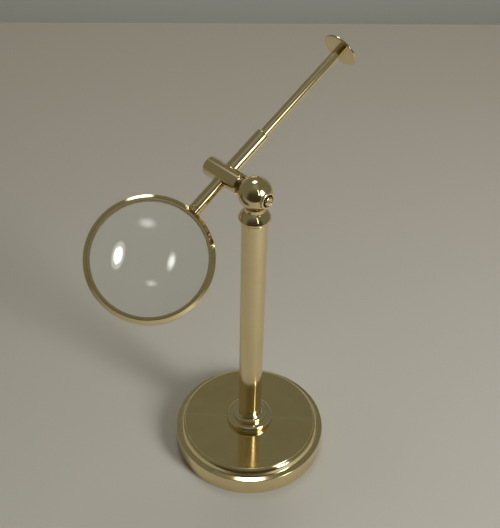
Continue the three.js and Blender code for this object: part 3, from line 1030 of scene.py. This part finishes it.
def makeLens():
    look = lensLook
    size = measure("lens", lensSeat)
    edge = size["outer"]
    curve = (edge ** 2 + look["bulge"] ** 2) / (2 * look["bulge"])
    middle = look["halfEdge"] + look["bulge"] - curve
    half = math.degrees(math.asin(edge / curve))
    back = roundStretch(0, -middle, curve, -90, half - 90, steps=40)
    front = roundStretch(0, middle, curve, 90 - half, 90, steps=40)
    back[0] = (0, back[0][1])
    front[-1] = (0, front[-1][1])
    piece = turnPiece("lensGlassTurning", back + front, look["around"], closed=False)
    finishPiece(piece, lensSeat, "lens_arm", ["lens"], lensGlass, smooth=40)
    piece.visible_shadow = False      # the light that glass lets through, without caustics


# Pieces hidden inside keep their frame shapes

fastenings = ("foot_stud", "foot_washer", "foot_nut", "swivel_washer", "swivel_nut", "screw_washer")
hiddenFinishes = {"foot_plug": columnBrass, **dict.fromkeys(fastenings, turnedSteel)}


def finishHidden():
    for name, material in hiddenFinishes.items():
        mesh = frame["nodes"][name].data
        mesh.materials.clear()
        mesh.materials.append(material)


makeBaseShell()
makeBaseWeight()
makeBaseFelt()
makeFootCollar()
makeColumnTube()
makeColumnCap()
print("stand modelled")
makeKnuckleBall()
print("head modelled")
makeCrossbar()
makeThrustWasher()
makePivotScrew()
makeSleeve()
makeGuideTube()
print("crossbar and tubes modelled")
makeSlideRod()
makeFingerDisc()
makeLensFrame()
makeRodFerrule()
makeRetainingRing()
makeLens()
finishHidden()
print("lens arm modelled")


# Table, wall behind it, and a dim room

stageLook = {
    "tableNear": (0.481, 0.458, 0.402, 1),
    # the far colour paints warm light on the far part of the table: warmer and a little darker than the
    # near colour
    "tableFarWarmLight": (0.484, 0.439, 0.379, 1),
    "tableWarmLightFade": (-0.05, 0.70),  # from the column to where the near colour ends and the far one begins
    "wall": (0.685, 0.675, 0.655, 1),
    "tableWidth": 7.0,
    "edgeAway": 0.945,           # from the column to the table's far edge
    "edgeNear": -0.49,
    "wallAway": 2.2,
    "wallTurn": -40.7,           # degrees from the X axis
    "wallHeight": 0.9,
    "cloudScale": 3.0,
    "cloud": 0.08,
    "roughness": 0.7,
    "specular": 0.25,
}


def makePlain(name, near, far, seat):
    look = stageLook
    graph, own = newMaterial(name, seat)
    away = graph.add("SeparateXYZ", {"Vector": own}).outputs["Y"]
    clouds = graph.noise(own, look["cloudScale"], detail=3, roughness=0.5)
    fade = graph.span(away, *look["tableWarmLightFade"])
    fade = graph.math("ADD", fade, graph.span(clouds, 0.35, 0.65, -look["cloud"], look["cloud"]), True)
    return graph.finish({
        "Base Color": graph.blend(fade, near, far),
        "Roughness": look["roughness"],
        "Specular IOR Level": look["specular"],
    })


def makePlane(name, width, height, seat):
    startFresh()
    bpy.ops.mesh.primitive_plane_add(size=1)
    plane = bpy.context.object
    plane.name = name
    place(plane, seat @ Matrix.Diagonal((width, height, 1, 1)))
    return plane


def makeStage():
    look = stageLook
    turn = spinBy(look["wallTurn"], "Z")
    width, far, near = look["tableWidth"], look["edgeAway"], look["edgeNear"]
    table = makePlane("tableTop", width, far - near, turn @ Matrix.Translation((0, (far + near) / 2, 0)))
    table.data.materials.append(makePlain("tablePaint", look["tableNear"], look["tableFarWarmLight"], turn))
    lift = Matrix.Translation((0, look["wallAway"], look["wallHeight"] - width / 2))
    wall = makePlane("wallBehind", width, width, turn @ lift @ spinBy(90, "X"))
    wall.data.materials.append(makePlain("wallPaint", look["wall"], look["wall"], turn))


# Camera at the photograph's place

cameraLook = {
    "place": (-321.3, -335.2, 559.5),
    "looks": (0.5393, 0.5690, -0.6207),
    "rollDegrees": 1.33,
    "focalPixels": 800,
    "imageWidth": 500,
    "sensor": 36.0,
    "nearest": 0.01,
}


def makeCamera():
    look = cameraLook
    data = bpy.data.cameras.new("photoCamera")
    data.sensor_fit = "HORIZONTAL"
    data.sensor_width = look["sensor"]
    data.lens = look["focalPixels"] / look["imageWidth"] * look["sensor"]
    data.clip_start = look["nearest"]
    camera = bpy.data.objects.new("photoCamera", data)
    bpy.context.scene.collection.objects.link(camera)
    forward = Vector(look["looks"]).normalized()
    right = forward.cross(Vector((0, 0, 1))).normalized()
    up = right.cross(forward)
    roll = math.radians(look["rollDegrees"])
    tiltedRight = right * math.cos(roll) + up * math.sin(roll)
    tiltedUp = up * math.cos(roll) - right * math.sin(roll)
    axes = Matrix((tiltedRight, tiltedUp, -forward)).transposed().to_4x4()
    camera.matrix_world = Matrix.Translation(Vector(look["place"]) * mm) @ axes
    bpy.context.scene.camera = camera


# Lamps: where each stands as seen from the ball, or from the lens if it reaches the glass alone (degrees
# right of the line away from the camera, degrees up, metres away), how wide and tall it looks in degrees,
# how bright it is, how much of it fades at the rim, and which pieces it reaches or misses

cameraSide = math.atan2(-cameraLook["looks"][1], -cameraLook["looks"][0])
glassAlone = ["lensGlassTurning"]
frames = ["lensFrameTurning", "retainerTurning"]
tubes = [part + "Turning" for part in ("sleeve", "sleeveRing", "guide", "rod", "disc", "ferrule")]
lamps = {
    "ceilingLamp": {
        "at": (-10, 68, 2.4), "size": (23, 18), "light": 11.0, "fade": 0.4,
        "colour": (1.0, 0.985, 0.95), "misses": glassAlone + frames + ["footCollarTurning", "baseTurning"],
    },
    "landingLamp": {
        "at": (6, 80, 2.4), "size": (15, 13), "light": 11.0, "fade": 0.8,
        "colour": (1.0, 0.985, 0.95), "reaches": ["baseTurning"],
    },
    "windowLamp": {
        "at": (128.5, 23, 1.6), "size": (24, 40), "light": 28.0, "fade": 0.7,
        "colour": (0.97, 0.985, 1.0), "misses": glassAlone + frames + tubes + ["capTurning", "baseTurning"],
    },
    "baseWindowLamp": {
        "at": (128.5, 19, 1.6), "size": (19, 38), "light": 14.0, "fade": 0.8,
        "colour": (0.97, 0.985, 1.0), "reaches": ["baseTurning"],
    },
    "upperWindowLamp": {
        "at": (128.5, 48, 1.6), "size": (9, 20), "light": 5.0, "fade": 0.8,
        "colour": (0.99, 0.985, 0.95), "reaches": ["baseTurning", "columnTurning"],
    },
    "tubeWindowLamp": {
        "at": (130, 23, 1.6), "size": (19, 30), "light": 6.0, "fade": 0.9,
        "colour": (0.98, 0.99, 0.98), "reaches": tubes,
    },
    "deskLamp": {
        "at": (-151, 56.5, 1.7), "size": (4.2, 9), "light": 24.0, "fade": 0.25, "turn": 15,
        "colour": (1.0, 0.98, 0.94), "reaches": glassAlone,
    },
    "deskLampGlow": {
        "at": (-151, 56.5, 1.71), "size": (6.6, 14.5), "light": 5.0, "fade": 0.2, "turn": 15,
        "colour": (1.0, 0.98, 0.94), "reaches": glassAlone,
    },
    "shelfLamp": {
        "at": (-168, 75, 1.7), "size": (10.5, 6.5), "light": 6.5, "fade": 0.9,
        "colour": (1.0, 0.99, 0.96), "reaches": glassAlone,
    },
    "sillLamp": {
        "at": (-20, 33, 1.7), "size": (24, 15), "light": 4.0, "fade": 0.5,
        "colour": (0.98, 0.99, 1.0), "reaches": ["lensFrameTurning"],
    },
    "crossbarLamp": {
        "at": (-32, 52, 1.7), "size": (30, 14), "light": 0.35, "fade": 0.9,
        "colour": (1.0, 0.99, 0.96), "reaches": ["crossbarTurning"],
    },
    "doorGapLamp": {
        "at": (155, 33, 2.2), "size": (3, 64), "light": 6.5, "fade": 0.6,
        "colour": (1.0, 0.98, 0.92), "reaches": ["ballTurning", "capTurning"],
    },
}


def fadeLamp(data, fade):
    # a lamp that is brightest in the middle and fades out towards an oval rim
    graph = Graph(data)
    spot = graph.add("NewGeometry").outputs["Parametric"]
    fromMiddle = graph.add("VectorMath", {0: spot, 1: (0.5, 0.5, 0)}, operation="SUBTRACT")
    away = graph.add("VectorMath", {0: fromMiddle.outputs["Vector"]}, operation="LENGTH")
    strength = graph.span(away.outputs["Value"], 0.5, 0.5 * (1 - fade), curve="SMOOTHSTEP")
    graph.output("Light", graph.add("Emission", {"Strength": strength}).outputs[0])


def linkLamp(lamp, look):
    # a lamp's light falls on the named pieces alone, or misses them
    if "reaches" not in look and "misses" not in look:
        return
    linked = bpy.data.collections.new(lamp.name + "Links")
    lamp.light_linking.receiver_collection = linked
    for name in look.get("reaches", []) + look.get("misses", []):
        linked.objects.link(bpy.data.objects[name])
    if "misses" in look:
        for entry in linked.collection_objects:
            entry.light_linking.link_state = "EXCLUDE"


def viewedSize(degrees, away):
    return 2 * away * math.tan(math.radians(degrees / 2))


def headingVector(heading, up):
    level = math.cos(up)
    return Vector((level * math.cos(heading), level * math.sin(heading), math.sin(up)))


def makeLamps():
    for name, look in lamps.items():
        right, up, away = look["at"]
        data = bpy.data.lights.new(name, "AREA")
        data.shape = "RECTANGLE"
        data.size, data.size_y = (viewedSize(degrees, away) for degrees in look["size"])
        data.energy = look["light"] * math.pi * data.size * data.size_y    # so light is its brightness
        data.color = look["colour"]
        fadeLamp(data, look["fade"])
        lamp = bpy.data.objects.new(name, data)
        bpy.context.scene.collection.objects.link(lamp)
        towards = headingVector(cameraSide + math.pi - math.radians(right), math.radians(up))
        start = boxCentre("lens") if look.get("reaches") == glassAlone else ballCentre
        facing = towards.to_track_quat("Z", "Y").to_matrix().to_4x4()
        facing @= spinBy(look.get("turn", 0), "Z")
        lamp.matrix_world = Matrix.Translation(start + towards * away) @ facing
        linkLamp(lamp, look)


roomLook = {
    "room": (0.150, 0.149, 0.112, 1),
    "glow": (0.250, 0.245, 0.235, 1),         # pale ceiling above the camera
    "glowUp": 78,
    "glowWide": (5, 22),                      # degrees from its middle where it starts to fade and ends
    "shade": (0.042, 0.034, 0.020, 1),        # the dark side of the room, behind the camera
    "shadeAway": 2.0,
    "shadeWide": (1.7, 3.6),                  # metres from the middle where it starts to fade and ends
    "shadeTall": (0.9, 3.2),
    "shadeDeep": 2.0,                         # how far it hangs below the table's level
}


def makeRoom():
    look = roomLook
    world = bpy.data.worlds.new("dimRoom")
    bpy.context.scene.world = world
    graph = Graph(world)
    middle = headingVector(cameraSide, math.radians(look["glowUp"]))
    heading = graph.add("TexCoord").outputs["Generated"]
    nearness = graph.add("VectorMath", {0: heading, 1: middle}, operation="DOT_PRODUCT")
    starts, ends = (math.cos(math.radians(degrees)) for degrees in look["glowWide"])
    fade = graph.span(nearness.outputs["Value"], ends, starts, curve="SMOOTHSTEP")
    colour = graph.blend(fade, look["room"], look["glow"])
    graph.output("World", graph.add("Background", {"Color": colour}).outputs[0])


def makeShadeCloth():
    graph = Graph(bpy.data.materials.new("shadeCloth"))
    spot = graph.add("TexCoord").outputs["Object"]
    parts = graph.add("SeparateXYZ", {"Vector": spot}).outputs
    wide, tall = roomLook["shadeWide"], roomLook["shadeTall"]
    across = graph.span(graph.math("ABSOLUTE", parts["X"]), wide[1], wide[0])
    upward = graph.span(parts["Y"], tall[1], tall[0])
    cover = graph.math("MULTIPLY", across, upward)
    clear = graph.add("BsdfTransparent")
    dim = graph.add("Emission", {"Color": roomLook["shade"], "Strength": 1.0})
    blend = graph.add("MixShader", {0: cover, 1: clear.outputs[0], 2: dim.outputs[0]})
    return graph.output("Material", blend.outputs[0])


def makeShade():
    # stands behind the camera, and shows only as the dark side of what the brass mirrors
    look = roomLook
    wide, tall, deep = look["shadeWide"][1], look["shadeTall"][1], look["shadeDeep"]
    card = makePlane("shadeCard", wide * 2, tall + deep, Matrix.Translation((0, (tall - deep) / 2, 0)))
    turn = Matrix.Rotation(cameraSide + math.pi / 2, 4, "Z")
    card.matrix_world = turn @ Matrix.Translation((0, -look["shadeAway"], 0)) @ spinBy(90, "X")
    card.data.materials.append(makeShadeCloth())
    card.visible_camera = False
    card.visible_diffuse = False
    card.visible_shadow = False
    card.visible_transmission = False


makeStage()
makeLamps()
makeRoom()
makeShade()
print("stage and lamps set")
makeCamera()
bpy.context.scene.view_settings.view_transform = "Standard"
